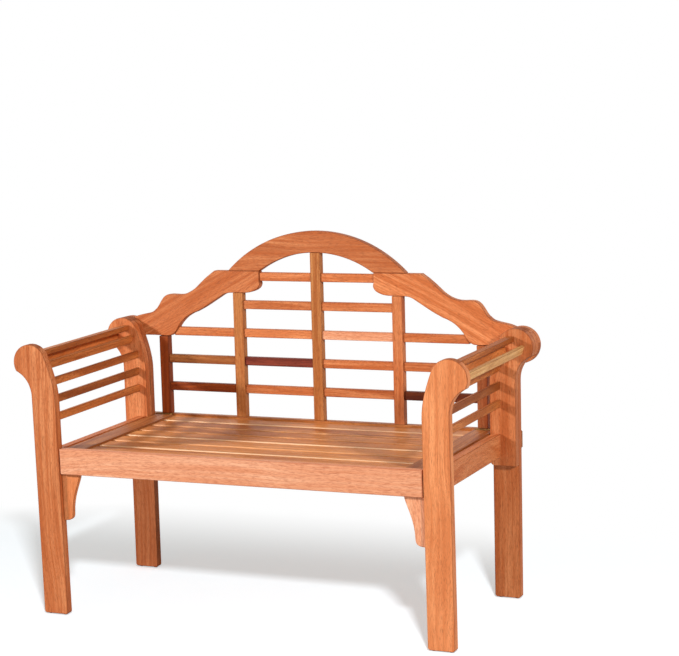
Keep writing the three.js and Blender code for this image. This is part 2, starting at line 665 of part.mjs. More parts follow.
// A hinge has three knuckles: the outer two on the fixed leaf, the middle one on the seat's.
function seatHinges() {
  const third = SEAT_HINGE_LENGTH / 3;
  const y = SEAT_AXIS_Y;
  const z = SEAT_AXIS_Z;
  const low = z - BARREL_RADIUS - FIT_GAP;
  const foot = z - SEAT_HINGE_DROP;
  const bore = PIN_RADIUS + FIT_GAP;
  const fixedY = leaningY(BACK_FRAME_Y, foot) - FIT_GAP;
  for (const [side, word] of [[-1, "left"], [1, "right"]]) {
    const x0 = side * (SEAT_HALF - SEAT_SLAT_WIDTH / 2) - SEAT_HINGE_LENGTH / 2;
    const x1 = x0 + SEAT_HINGE_LENGTH;
    const hole = rod(bore, x0 - PIN_PROUD, x1 + PIN_PROUD, y, z);
    const knuckles = [x0, x0 + 2 * third + FIT_GAP].map((x) =>
      rod(BARREL_RADIUS, x, x + third - FIT_GAP, y, z));
    const lugs = [x0, x0 + 2 * third + FIT_GAP].map((x) =>
      box(x, x + third - FIT_GAP, fixedY - SEAT_HINGE_LEAF, fixedY, foot, z));
    const back = box(x0, x1, fixedY - SEAT_HINGE_LEAF, fixedY, foot, low);
    const fixed = toManifold(joined(back, ...lugs, ...knuckles)).subtract(toManifold(hole));
    solid(frame, "seat_hinge_fixed_leaf_" + word, toGeometry(fixed), colours.brass);
    const m0 = x0 + third + FIT_GAP / 2;
    const m1 = x0 + 2 * third - FIT_GAP / 2;
    const leafY = SEAT_DEPTH + FIT_GAP;
    const plateLow = box(x0, x1, leafY, leafY + SEAT_HINGE_LEAF, foot, low);
    const lug = box(m0, m1, leafY, leafY + SEAT_HINGE_LEAF, foot, z);
    const moving = joined(plateLow, lug, rod(BARREL_RADIUS, m0, m1, y, z));
    const bored = toManifold(moving).subtract(toManifold(hole));
    solid(seat, "seat_hinge_moving_leaf_" + word, toGeometry(bored), colours.brass);
    const pin = rod(PIN_RADIUS, x0 - PIN_PROUD, x1 + PIN_PROUD, y, z);
    solid(frame, "seat_hinge_pin_" + word, pin, colours.brass);
  }
}

frontLegs();
rearLegs();
armBoards();
arms();
seatBrackets();
lowerBackRail();
stiles();
backSlats();
scrolledRails();
arch();
seatPanel();
seatHinges();

root.position.y = -DEPTH / 2;
root.updateMatrixWorld(true);

export default root;
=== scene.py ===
# %% [markdown]
# # A folding garden bench
# This lesson dresses a garden bench for two. Its boards are sawn from one thickness of an
# orange-brown hardwood and oiled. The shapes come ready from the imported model, so the work here is
# what a joiner does last: ease the arrises, choose which board goes where, drive the screws and oil
# the wood. Then the bench is lit and looked at from where the photograph was taken.

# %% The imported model
import json
import math
import bmesh
import bpy
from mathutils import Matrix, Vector

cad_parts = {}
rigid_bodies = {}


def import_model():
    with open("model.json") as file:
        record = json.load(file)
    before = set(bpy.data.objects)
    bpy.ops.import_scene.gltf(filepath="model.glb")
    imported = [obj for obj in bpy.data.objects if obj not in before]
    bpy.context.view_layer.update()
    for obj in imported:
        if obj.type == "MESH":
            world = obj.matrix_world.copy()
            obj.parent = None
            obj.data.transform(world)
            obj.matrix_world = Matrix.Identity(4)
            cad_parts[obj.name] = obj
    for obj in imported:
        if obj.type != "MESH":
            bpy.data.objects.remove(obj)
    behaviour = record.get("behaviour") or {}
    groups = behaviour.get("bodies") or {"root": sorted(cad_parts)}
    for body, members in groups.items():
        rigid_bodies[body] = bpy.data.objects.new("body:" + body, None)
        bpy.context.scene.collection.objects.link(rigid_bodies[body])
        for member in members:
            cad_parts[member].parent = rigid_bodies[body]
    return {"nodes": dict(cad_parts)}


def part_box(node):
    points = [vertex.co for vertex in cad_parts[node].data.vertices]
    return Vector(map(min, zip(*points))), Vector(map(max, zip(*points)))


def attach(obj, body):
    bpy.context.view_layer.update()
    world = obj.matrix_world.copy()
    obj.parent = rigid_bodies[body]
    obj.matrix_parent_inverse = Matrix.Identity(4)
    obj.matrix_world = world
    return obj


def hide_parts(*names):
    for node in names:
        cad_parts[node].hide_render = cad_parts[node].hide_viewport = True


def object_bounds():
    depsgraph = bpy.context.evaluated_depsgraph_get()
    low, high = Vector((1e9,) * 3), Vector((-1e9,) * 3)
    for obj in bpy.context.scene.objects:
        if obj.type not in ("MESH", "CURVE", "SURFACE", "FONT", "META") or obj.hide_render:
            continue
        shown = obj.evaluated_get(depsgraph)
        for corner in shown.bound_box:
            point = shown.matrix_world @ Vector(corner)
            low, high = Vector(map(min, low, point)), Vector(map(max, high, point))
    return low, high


for leftover in list(bpy.data.objects):
    bpy.data.objects.remove(leftover)
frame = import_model()
cad_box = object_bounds()

# %% [markdown]
# ## Units
# Blender works in metres, but a joiner thinks in millimetres. One named factor keeps both honest.

# %% Units and a collection for the bench
MM = 0.001
bench = bpy.data.collections.new("bench")
bpy.context.scene.collection.children.link(bench)
leg_low, leg_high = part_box("front_leg_left")
print("front leg:", round((leg_high.z - leg_low.z) / MM), "mm high")

# %% [markdown]
# ## Sums in a shader
# A wood shader is mostly arithmetic: a stretched noise here, a threshold there. Written node by
# node it can't be read, so one small class lets a socket be added and multiplied like a number.

# %% Sockets that can be added and multiplied
class Signal:
    """A value in a shader tree. Arithmetic on it adds the node that works it out."""

    def __init__(self, tree, socket=None):
        self.tree = tree
        self.socket = socket

    def node(self, kind, settings=None, inputs=None, output=0):
        """Adds any other node: its settings first, then its inputs, as values or as signals."""
        node = self.tree.nodes.new(kind)
        for key, value in (settings or {}).items():
            setattr(node, key, value)
        for key, value in (inputs or {}).items():
            if isinstance(value, Signal):
                self.tree.links.new(value.socket, node.inputs[key])
            else:
                node.inputs[key].default_value = value
        return Signal(self.tree, node.outputs[output])

    def sum(self, operation, first, second):
        pair = (first, second)
        vector = any(isinstance(p, Signal) and p.socket.type == "VECTOR" for p in pair)
        kind = "ShaderNodeVectorMath" if vector else "ShaderNodeMath"
        return self.node(kind, {"operation": operation}, {0: first, 1: second})

    def __add__(self, other):
        return self.sum("ADD", self, other)

    def __radd__(self, other):
        return self.sum("ADD", other, self)

    def __sub__(self, other):
        return self.sum("SUBTRACT", self, other)

    def __rsub__(self, other):
        return self.sum("SUBTRACT", other, self)

    def __mul__(self, other):
        return self.sum("MULTIPLY", self, other)

    def __rmul__(self, other):
        return self.sum("MULTIPLY", other, self)

    def attribute(self, name, output="Fac"):
        """A value that each board carries in its own mesh."""
        return self.node("ShaderNodeAttribute", {"attribute_name": name}, None, output)

    def noise(self, scale, detail=2.0, roughness=0.5):
        """Noise around 0.5 at this place, finer along each axis the larger its scale."""
        inputs = {"Vector": self * scale, "Scale": 1.0, "Detail": detail, "Roughness": roughness}
        return self.node("ShaderNodeTexNoise", None, inputs)

    def between(self, low, high):
        """0 where the value is below low, 1 above high, and a smooth rise between them."""
        settings = {"interpolation_type": "SMOOTHSTEP"}
        inputs = {"Value": self, "From Min": low, "From Max": high}
        return self.node("ShaderNodeMapRange", settings, inputs)

    def blend(self, first, second):
        """The first colour where the value is 0, the second where it is 1."""
        settings = {"data_type": "RGBA"}
        return self.node("ShaderNodeMix", settings, {0: self, 6: first, 7: second}, output=2)


def new_material(name, **constants):
    """A material with its shader's constant sockets set, ready to be wired."""
    material = bpy.data.materials.new(name)
    material.use_nodes = True
    shader = material.node_tree.nodes["Principled BSDF"]
    for key, value in constants.items():
        shader.inputs[key.replace("_", " ")].default_value = value
    return material, Signal(material.node_tree), shader


def wire(signal, shader, socket):
    signal.tree.links.new(signal.socket, shader.inputs[socket])


def rgb(red, green, blue):
    """A colour picked as screen values from 0 to 255, in Blender's linear terms."""
    def linear(value):
        share = value / 255
        return share / 12.92 if share <= 0.04045 else ((share + 0.055) / 1.055) ** 2.4
    return (linear(red), linear(green), linear(blue), 1.0)


print("class ready:", Signal.__name__)

# %% [markdown]
# ## Oiled hardwood
# On the real bench no two boards have the same colour, because each is cut from another place in
# the log. Within a board there are three things to see: broad bands a few millimetres wide that
# run its whole length, fine fibres, and open pores that the oil has turned into short dark
# dashes. All three follow the board, so every board carries its own coordinates, named grain:
# along the fibres, across them, and through the thickness, in metres. The boards are lightly
# flecked as well, the apron most of all. A board's tone shifts it lighter or darker, and its end
# grain, where the fibres are cut off, soaks up more oil and darkens. The arrises are darkened with
# painted shade, and the upper ones of some seat slats carry a painted highlight, pale as straw.

# %% The wood shader
# The colour of the painted highlight on the upper arrises.
STRAW_HIGHLIGHT = rgb(255, 222, 182)
OILED_SHINE = 0.18
# Changes per metre: along the fibres, across them and through the board.
WANDER = (2.2, 6.0, 6.0)
FIGURE = (1.5, 52.0, 38.0)
BANDS = (2.5, 140.0, 80.0)
STREAKS = (10.0, 430.0, 340.0)
RIBBONS = (55.0, 420.0, 420.0)
PORES = (65.0, 1400.0, 1000.0)
BLOTCHES = (4.0, 14.0, 14.0)
# In metres: how far the fibres stray sideways, and how deep the open grain looks.
STRAY = 0.06
GRAIN_DEPTH = 0.35 * MM
GRAIN_STRENGTH = 0.35


def wood(name, pale, rich, dark, sheen=0.42, flecks=0.12):
    """Oiled hardwood. The colours are the bands', the wood's between them and the pores'."""
    material, start, shader = new_material(name, Specular_IOR_Level=OILED_SHINE)
    grain = start.attribute("grain", "Vector")
    tone = start.attribute("tone")
    end = start.attribute("end")
    arris_light_shade = start.attribute("arris_light_shade")
    wander = grain.noise(WANDER, detail=1.0) - 0.5
    shift = start.node("ShaderNodeCombineXYZ", None, {"Y": wander * STRAY, "Z": wander * STRAY})
    fibre = grain + shift
    figure = fibre.noise(FIGURE, detail=2.0, roughness=0.6)
    bands = fibre.noise(BANDS, detail=3.0, roughness=0.65)
    streaks = fibre.noise(STREAKS, detail=2.0, roughness=0.6)
    ribbons = fibre.noise(RIBBONS, detail=2.0)
    pores = fibre.noise(PORES, detail=1.0).between(0.55, 0.68)
    blotch = grain.noise(BLOTCHES, detail=2.0)
    body = (bands * 0.6 + figure * 0.4).between(0.38, 0.62).blend(rich, pale)
    body = (figure.between(0.5, 0.34) * 0.16).blend(body, dark)
    body = (streaks.between(0.46, 0.66) * 0.5).blend(body, rich)
    body = (blotch.between(0.35, 0.65) * 0.5 + 0.5).blend(rich, body)
    body = (ribbons.between(0.5, 0.62) * flecks).blend(body, dark)
    body = (pores * 0.55).blend(body, dark)
    body = (tone * -1.0).blend(body, dark)
    body = tone.blend(body, pale)
    body = (end * 0.45).blend(body, dark)
    # Painted shade darkens the arrises, and a painted highlight lightens the upper ones that are
    # given one.
    body = (arris_light_shade * -1.0).blend(body, dark)
    highlight = arris_light_shade * (0.4 + bands * 1.2)
    body = highlight.blend(body, STRAW_HIGHLIGHT)
    wire(body, shader, "Base Color")
    wire(sheen + streaks * 0.16 + end * 0.15 - arris_light_shade * 0.1, shader, "Roughness")
    relief = bands * 0.5 + streaks * 0.6 - pores * 0.8
    raised = {"Strength": GRAIN_STRENGTH, "Distance": GRAIN_DEPTH, "Height": relief}
    wire(start.node("ShaderNodeBump", None, raised), shader, "Normal")
    return material


WOOD_COLOURS = {
    "frame_wood": (rgb(240, 158, 104), rgb(202, 110, 58), rgb(104, 40, 10)),
    "apron_wood": (rgb(252, 194, 156), rgb(234, 160, 118), rgb(172, 90, 58)),
    "seat_wood": (rgb(236, 160, 96), rgb(174, 98, 46), rgb(94, 42, 14)),
    "golden_wood": (rgb(238, 168, 104), rgb(200, 120, 60), rgb(104, 44, 12)),
    "arm_slat_wood": (rgb(220, 137, 76), rgb(168, 89, 38), rgb(88, 40, 14)),
    "pale_wood": (rgb(244, 192, 128), rgb(206, 140, 80), rgb(120, 70, 30)),
    "dark_wood": (rgb(176, 86, 34), rgb(126, 50, 14), rgb(60, 22, 8)),
    "plum_wood": (rgb(150, 70, 50), rgb(104, 38, 26), rgb(52, 20, 16)),
}
WOOD_HABITS = {"apron_wood": {"flecks": 0.4}, "seat_wood": {"sheen": 0.38}}
WOODS = {}
for name, colours in WOOD_COLOURS.items():
    WOODS[name] = wood(name, *colours, **WOOD_HABITS.get(name, {}))
print("woods:", ", ".join(WOODS))

# %% [markdown]
# ## Brass
# The hinges and screws are plain brass. The hinges have dulled outdoors and turned brown in
# patches. Their screws are newer and brighter, and those under the seat have gone nearly black.

# %% Brass
TARNISH = (90.0, 90.0, 90.0)
SCRATCHES = (900.0, 900.0, 60.0)


def metal(name, bright, dull, roughness):
    """Brass that is bright in some patches and dull in others, with fine upright scratches."""
    material, start, shader = new_material(name, Metallic=1.0)
    place = start.node("ShaderNodeTexCoord", None, None, output="Object")
    tarnish = place.noise(TARNISH, detail=4.0)
    scratches = place.noise(SCRATCHES, detail=1.0)
    wire(tarnish.between(0.4, 0.7).blend(bright, dull), shader, "Base Color")
    wire(roughness + tarnish * 0.25 + scratches * 0.08, shader, "Roughness")
    return material


BRASS = metal("hinge_brass", rgb(138, 100, 56), rgb(84, 56, 32), 0.38)
SCREW_BRASS = metal("screw_brass", rgb(222, 186, 124), rgb(176, 136, 80), 0.22)
DARK_BRASS = metal("dark_brass", rgb(76, 52, 36), rgb(44, 30, 22), 0.5)
print("metals:", BRASS.name, SCREW_BRASS.name, DARK_BRASS.name)

# %% [markdown]
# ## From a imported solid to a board
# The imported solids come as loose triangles. Joined up, with their flat faces made whole, they can
# be handled like a joiner's boards: sawn through at a plane, cleaned up, and eased along every
# sharp edge. A real arris is never quite sharp. Three narrow facets, shaded softly, catch the light
# as sandpaper's rounding does. They are cut inwards, so they never make the board larger.

# %% Saw, clean and ease a board
WELD = 0.002 * MM
FLAT = math.radians(0.6)
ARRIS = math.radians(28)
SMOOTH = math.radians(26)
FACETS = 3
# How far an arris's colour is changed: below 0 it carries painted shade, above 0 a painted highlight.
ARRIS_SHADE = -0.4


def copy_of(node):
    """The node's solid as one closed surface with whole faces."""
    bm = bmesh.new()
    bm.from_mesh(frame["nodes"][node].data)
    bmesh.ops.remove_doubles(bm, verts=bm.verts, dist=WELD)
    bmesh.ops.dissolve_limit(bm, angle_limit=FLAT, verts=bm.verts, edges=bm.edges)
    return bm


def saw_off(bm, point, outwards):
    """Cuts away what lies beyond the plane, and closes the cut."""
    everything = bm.verts[:] + bm.edges[:] + bm.faces[:]
    bmesh.ops.bisect_plane(bm, geom=everything, plane_co=point, plane_no=outwards, clear_outer=True)
    open_edges = [edge for edge in bm.edges if edge.is_boundary]
    bmesh.ops.holes_fill(bm, edges=open_edges)


def ease(bm, width, keep=(), light_shade_level=ARRIS_SHADE):
    """Rounds the arrises, but not in the boxes to keep, and paints their highlight and shade."""
    def inside(vert, low, high):
        return all(low[i] - MM < vert.co[i] < high[i] + MM for i in range(3))

    def kept(vert):
        return any(inside(vert, low, high) for low, high in keep)

    arris_light_shade = bm.faces.layers.float.new("arris_light_shade")
    bm.normal_update()
    sharp = []
    for edge in bm.edges:
        if len(edge.link_faces) == 2 and edge.calc_face_angle() > ARRIS:
            if not all(kept(vert) for vert in edge.verts):
                sharp.append(edge)
    eased = bmesh.ops.bevel(
        bm, geom=sharp, offset=width, offset_type="OFFSET", segments=FACETS,
        profile=0.5, affect="EDGES", clamp_overlap=not keep, material=-1,
    )
    bm.normal_update()
    for face in eased["faces"]:
        # Arrises that face up get the given level of painted highlight and shade; those that face
        # down always get painted shade.
        face[arris_light_shade] = light_shade_level if face.normal.z > 0 else min(light_shade_level, ARRIS_SHADE)


def crease(bm):
    """Shades curves and arrises softly, and keeps a crisp line where they meet a flat face."""
    arris_light_shade = bm.faces.layers.float.get("arris_light_shade")
    bm.normal_update()
    for edge in bm.edges:
        one, other = edge.link_faces
        # Faces that both carry a painted highlight are smoothed together.
        both_highlit = arris_light_shade is not None and one[arris_light_shade] > 0 and other[arris_light_shade] > 0
        level = arris_light_shade is None or one[arris_light_shade] == other[arris_light_shade]
        edge.smooth = both_highlit or (level and edge.calc_face_angle() < SMOOTH)


def finish_piece(bm, name, body, material):
    """Turns the faces outwards, makes the object and hangs it on its body."""
    bmesh.ops.recalc_face_normals(bm, faces=bm.faces)
    crease(bm)
    for face in bm.faces:
        face.smooth = True
    mesh = bpy.data.meshes.new(name)
    bm.to_mesh(mesh)
    bm.free()
    mesh.materials.append(material)
    piece = bpy.data.objects.new(name, mesh)
    bench.objects.link(piece)
    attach(piece, body)
    return piece


print("arrises over", round(math.degrees(ARRIS)), "degrees are eased")

# %% [markdown]
# ## Which way the fibres run
# A joiner lays the fibres along each board's length, and along the slope of the curved ones, so
# that nothing snaps. The board's own coordinates follow that direction. Each board starts at
# another place in the log, so that no two show the same figure.

# %% The grain of a board
ALONG_X = Vector((1, 0, 0))
ALONG_Y = Vector((0, 1, 0))
ALONG_Z = Vector((0, 0, 1))
LOG_STEP = Vector((0.731, 0.397, 0.563))
CUT_ACROSS = 0.8
boards = []


def lay_grain(piece, along, tone):
    """Writes the board's own coordinates, its tone and its end grain into the mesh."""
    mesh = piece.data
    helper = ALONG_Y if abs(along.y) < 0.5 else ALONG_Z
    across = along.cross(helper).normalized()
    through = along.cross(across)
    place = LOG_STEP * len(boards)
    mesh.attributes.new("grain", "FLOAT_VECTOR", "POINT")
    mesh.attributes.new("tone", "FLOAT", "POINT")
    mesh.attributes.new("end", "FLOAT", "FACE")
    for vert in mesh.vertices:
        own = Vector((vert.co @ along, vert.co @ across, vert.co @ through))
        mesh.attributes["grain"].data[vert.index].vector = own + place
        mesh.attributes["tone"].data[vert.index].value = tone
    for polygon in mesh.polygons:
        is_end = abs(polygon.normal @ along) > CUT_ACROSS
        mesh.attributes["end"].data[polygon.index].value = 1.0 if is_end else 0.0
    boards.append(piece.name)


BOARD_ARRIS = 1.6 * MM
SLAT_ARRIS = 1.2 * MM


def board(
    node, along, wood_name="frame_wood", tone=0.0, arris=BOARD_ARRIS,
    body="frame", keep=(), light_shade_level=ARRIS_SHADE,
):
    """A dressed copy of one packed board, which stands for it."""
    bm = copy_of(node)
    ease(bm, arris, keep, light_shade_level)
    piece = finish_piece(bm, "board_" + node, body, WOODS[wood_name])
    lay_grain(piece, along, tone)
    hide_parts(node)
    return piece


print("a board is copied, eased and given its grain")

# %% [markdown]
# ## Legs on glides
# Each leg is sawn from one board, with a scroll at its head. Under the foot sit two small turned
# glides that keep the end grain off wet paving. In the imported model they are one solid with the
# leg, so here they are taken off it, and each glide becomes a disc of its own.

# %% Legs and glides
LEG_ARRIS = 1.8 * MM
LIFT = 2.5 * MM
GLIDE_RADIUS = 5.5 * MM
GLIDE_RIM = 0.8 * MM
GLIDE_SIDES = 20
GLIDE_TONE = -0.5


def leg(node, tone, keep=()):
    """A leg without its glides: they are taken off under the foot, and the foot is closed."""
    bm = copy_of(node)
    stubs = [vert for vert in bm.verts if vert.co.z < LIFT / 2]
    bmesh.ops.delete(bm, geom=stubs, context="VERTS")
    bmesh.ops.holes_fill(bm, edges=[edge for edge in bm.edges if edge.is_boundary])
    bmesh.ops.dissolve_limit(bm, angle_limit=FLAT, verts=bm.verts, edges=bm.edges)
    ease(bm, LEG_ARRIS, keep)
    piece = finish_piece(bm, "board_" + node, "frame", WOODS["frame_wood"])
    lay_grain(piece, ALONG_Z, tone)
    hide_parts(node)
    return piece


def glide(name, x, y):
    """One turned disc that stands on the floor, with its lower rim eased."""
    bm = bmesh.new()
    made = bmesh.ops.create_cone(
        bm, cap_ends=True, segments=GLIDE_SIDES,
        radius1=GLIDE_RADIUS, radius2=GLIDE_RADIUS, depth=LIFT,
    )
    bmesh.ops.translate(bm, verts=made["verts"], vec=(x, y, LIFT / 2))
    rim = [edge for edge in bm.edges if all(vert.co.z < LIFT / 2 for vert in edge.verts)]
    bmesh.ops.bevel(
        bm, geom=rim, offset=GLIDE_RIM, segments=2, profile=0.5, affect="EDGES", material=-1,
    )
    piece = finish_piece(bm, name, "frame", WOODS["frame_wood"])
    lay_grain(piece, ALONG_Z, GLIDE_TONE)


LEG_TONES = {
    "front_leg_left": -0.22,
    "front_leg_right": 0.2,
    "rear_leg_left": -0.4,
    "rear_leg_right": -0.1,
}
hinge_names = [name for name in frame["nodes"] if name.startswith("arm_hinge")]
hinge_boxes = [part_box(name) for name in hinge_names]
for side in ("left", "right"):
    for end in ("front", "rear"):
        node = end + "_leg_" + side
        leg(node, LEG_TONES[node], hinge_boxes if end == "rear" else ())
        low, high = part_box(node)
        feet = [v.co for v in frame["nodes"][node].data.vertices if v.co.z < LIFT / 2]
        middle = (min(p.y for p in feet) + max(p.y for p in feet)) / 2
        outer, inner = min(p.x for p in feet), max(p.x for p in feet)
        for place, x in (("a", outer + GLIDE_RADIUS), ("b", inner - GLIDE_RADIUS)):
            glide("glide_" + end + "_" + side + "_" + place, x, middle)

# %% [markdown]
# ## Arms
# Each arm ends in a board of the same scroll outline, laid face to face on the rear leg. A side
# rail at seat height and six thin slats join it to the front leg. On the right arm the slat on the
# outside of the roll is sapwood, paler and more olive than the rest. The pockets for the brass
# hinges, between board and leg, keep their crisp edges.

# %% Arm boards, rails and slats
ARM_BOARD_TONES = {"left": -0.12, "right": -0.25}
ARM_SLAT_TONES = {"1": 0.1, "2": -0.35, "3": 0.0, "shoulder": 0.1, "top": -0.1}
for side in ("left", "right"):
    board("arm_board_" + side, ALONG_Z, tone=ARM_BOARD_TONES[side], keep=hinge_boxes)
    board("arm_rail_" + side, ALONG_Y, tone=-0.15)
    for place, tone in ARM_SLAT_TONES.items():
        board("arm_slat_" + place + "_" + side, ALONG_Y, "arm_slat_wood", tone, SLAT_ARRIS)
board("arm_slat_outer_left", ALONG_Y, "arm_slat_wood", 0.2, SLAT_ARRIS)
board("arm_slat_outer_right", ALONG_Y, "pale_wood", 0.1, SLAT_ARRIS)
board("seat_bracket_left", ALONG_Z, tone=0.1)
board("seat_bracket_right", ALONG_Z, "apron_wood")
print("boards so far:", len(boards))

# %% [markdown]
# ## The back
# The back is a frame of its own behind the rear legs: a bottom rail, five stiles, two scrolled
# rails and the arch that crowns it. The scrolled rails climb towards the middle, and their fibres
# climb with them. The short slats between the stiles are offcuts, so their colours differ most:
# one is nearly plum, and two at the foot are dark brown.

# %% Rails, arch and stiles
CLIMB = math.radians(27)
board("back_scrolled_rail_left", Vector((math.cos(CLIMB), 0, math.sin(CLIMB))), tone=-0.2)
board("back_scrolled_rail_right", Vector((math.cos(CLIMB), 0, -math.sin(CLIMB))), tone=0.05)
board("back_arch", ALONG_X, tone=-0.3)
board("back_bottom_rail", ALONG_X, "seat_wood")
board("back_stile_outer_left", ALONG_Z, "dark_wood", 0.2)
STILE_TONES = {"inner_left": -0.3, "middle": -0.35, "inner_right": -0.15, "outer_right": -0.4}
for place, tone in STILE_TONES.items():
    wood_name = "frame_wood" if place.endswith("right") else "golden_wood"
    board("back_stile_" + place, ALONG_Z, wood_name, tone)
for side, tone in (("left", -0.2), ("right", -0.1)):
    board("back_slat_fourth_" + side, ALONG_X, tone=tone, arris=SLAT_ARRIS)
    board("back_slat_top_" + side, ALONG_X, arris=SLAT_ARRIS)
print("boards so far:", len(boards))

# %% [markdown]
# The three lower rows are packed as one solid each, with tongues that pass through the stiles.
# On the real bench every bay holds its own slat. So each row is sawn at the stiles' faces, once
# for each bay, which leaves four slats that can have four colours.

# %% Slats of the three lower rows
STILES = ["outer_left", "inner_left", "middle", "inner_right", "outer_right"]
SHAVE = 0.4 * MM
ROW_WOODS = {
    "third": (("frame_wood", -0.1), ("frame_wood", 0.1), ("apron_wood", -0.1), ("frame_wood", -0.1)),
    "second": (("seat_wood", -0.4), ("plum_wood", 0.0), ("frame_wood", -0.1), ("frame_wood", -0.2)),
    "bottom": (("dark_wood", 0.1), ("frame_wood", -0.1), ("frame_wood", -0.25), ("dark_wood", -0.6)),
}
for row, choices in ROW_WOODS.items():
    node = "back_slats_" + row + "_row"
    for bay, (wood_name, tone) in enumerate(choices):
        bm = copy_of(node)
        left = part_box("back_stile_" + STILES[bay])[1].x
        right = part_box("back_stile_" + STILES[bay + 1])[0].x
        saw_off(bm, (left + SHAVE, 0, 0), (-1, 0, 0))
        saw_off(bm, (right - SHAVE, 0, 0), (1, 0, 0))
        ease(bm, SLAT_ARRIS)
        name = "slat_" + row + "_" + str(bay + 1)
        piece = finish_piece(bm, name, "frame", WOODS[wood_name])
        lay_grain(piece, ALONG_X, tone)
        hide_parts(node)
print("boards so far:", len(boards))

# %% [markdown]
# ## The seat panel
# An apron, two side rails and seven slats on two battens. The apron's front is the face a buyer
# sees first, so it is a pale and pinkish board. The slats' arrises are rounded more than the rest,
# for the back of the knees, and some of them carry a painted highlight.

# %% Apron, rails, slats and battens
APRON_ARRIS = 2.0 * MM
KNEE_ARRIS = 2.6 * MM
board("seat_apron", ALONG_X, "apron_wood", -0.22, APRON_ARRIS, body="seat")
for side in ("left", "right"):
    # The side rails' darker tone is painted shade, standing for the left arm's shadow on the seat's
    # side.
    board("seat_side_rail_" + side, ALONG_Y, "seat_wood", -0.35, APRON_ARRIS, body="seat")
    board("seat_batten_" + side, ALONG_Y, "seat_wood", -0.3, body="seat")
SEAT_SLATS = sorted(name for name in frame["nodes"] if name.startswith("seat_slat_"))
SEAT_TONES = (0.0, 0.25, 0.35, 0.2, 0.1, 0.05, 0.25)
# How strongly each slat's upper arrises carry a painted highlight.
SEAT_HIGHLIGHTS = (0.2, 0.6, 0.2, 0.6, 0.15, 0.2, 0.6)
for node, tone, light_shade_level in zip(SEAT_SLATS, SEAT_TONES, SEAT_HIGHLIGHTS):
    board(node, ALONG_X, "seat_wood", tone, KNEE_ARRIS, body="seat", light_shade_level=light_shade_level)
print("boards:", len(boards))

# %% [markdown]
# ## Screws
# Two screws hold each slat to each batten, one near the slat's front edge and one near its rear,
# out of line so that the batten doesn't split. They are driven from below, so the seat's top stays
# plain, and the damp under a bench has turned them dark. A countersunk screw is a cone sunk to its
# rim. The cross in its head is an inset whose corners are drawn in by turns, and which is then
# pushed down. A screw is made upright at the origin, then turned the way it faces and moved.

# %% A countersunk screw
HEAD_DEPTH = 2.4 * MM
HEAD_PROUD = 0.3 * MM
HEAD_RIM = 0.4 * MM
HEAD_SIDES = 16
CROSS_DEPTH = 1.4 * MM
CROSS_DRAFT = 0.1 * MM
# Shares of the head's radius: the ring around the cross, the tips of its arms and its waist.
CROSS_RING = 0.15
CROSS_TIP = 0.68
CROSS_WAIST = 0.24


def screw(bm, place, facing, radius):
    """Adds one screw whose rim stands a hair above the surface at the place."""
    start = len(bm.verts)
    bmesh.ops.create_cone(
        bm, cap_ends=True, segments=HEAD_SIDES,
        radius1=radius / 2, radius2=radius, depth=HEAD_DEPTH,
    )
    bm.verts.ensure_lookup_table()
    bm.normal_update()
    head = max(bm.verts[-1].link_faces, key=lambda face: face.normal.z)
    top = head.calc_center_median()
    bmesh.ops.inset_region(bm, faces=[head], thickness=HEAD_RIM, use_even_offset=True)
    bmesh.ops.inset_region(bm, faces=[head], thickness=radius * CROSS_RING)
    for corner, vert in enumerate(head.verts):
        out = (vert.co - top).normalized()
        vert.co = top + out * radius * (CROSS_TIP if corner % 4 == 0 else CROSS_WAIST)
    bmesh.ops.inset_region(bm, faces=[head], thickness=CROSS_DRAFT, depth=-CROSS_DEPTH)
    bm.verts.ensure_lookup_table()
    own = bm.verts[start:]
    bmesh.ops.translate(bm, verts=own, vec=(0, 0, HEAD_PROUD - HEAD_DEPTH / 2))
    turn = facing.to_track_quat("Z", "X").to_matrix()
    bmesh.ops.rotate(bm, verts=own, cent=(0, 0, 0), matrix=turn)
    bmesh.ops.translate(bm, verts=own, vec=place)


print("screw heads stand", round(HEAD_PROUD / MM, 2), "mm proud")

# %% Screws through the battens
BATTEN_SCREW = 3.8 * MM
EDGE_INSET = 13 * MM
SIDE_STEP = 9 * MM
screws = bmesh.new()
for node in SEAT_SLATS:
    low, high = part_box(node)
    for side in ("left", "right"):
        batten_low, batten_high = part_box("seat_batten_" + side)
        middle = (batten_low.x + batten_high.x) / 2
        under = batten_low.z
        rear = min(high.y, batten_high.y) - EDGE_INSET
        screw(screws, (middle + SIDE_STEP, low.y + EDGE_INSET, under), -ALONG_Z, BATTEN_SCREW)
        screw(screws, (middle - SIDE_STEP, rear, under), -ALONG_Z, BATTEN_SCREW)
heads = len(SEAT_SLATS) * 4
batten_screws = finish_piece(screws, "batten_screws", "seat", DARK_BRASS)
print("screws:", heads, "with", len(batten_screws.data.polygons) // heads, "faces each")

# %% [markdown]
# ## Hinges
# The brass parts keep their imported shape: two leaves and a barrel. Welding joins their loose
# triangles, and a small bevel takes the sharpness off stamped brass. The arms' hinges lie shut
# between leg and board. On the seat's hinges each leaf has two screws, which show when the seat is
# turned up.

# %% Leaves and barrels
STAMPED_ARRIS = 0.25 * MM
for name, node in frame["nodes"].items():
    if "hinge" not in name:
        continue
    node.data.materials.clear()
    node.data.materials.append(BRASS)
    bench.objects.link(node)
    weld = node.modifiers.new("weld", "WELD")
    weld.merge_threshold = WELD
    soften = node.modifiers.new("soften", "BEVEL")
    soften.width = STAMPED_ARRIS
    soften.segments = 2
    soften.limit_method = "ANGLE"
    soften.angle_limit = ARRIS
    soften.use_clamp_overlap = True
print("brass nodes:", sum("hinge" in name for name in frame["nodes"]))

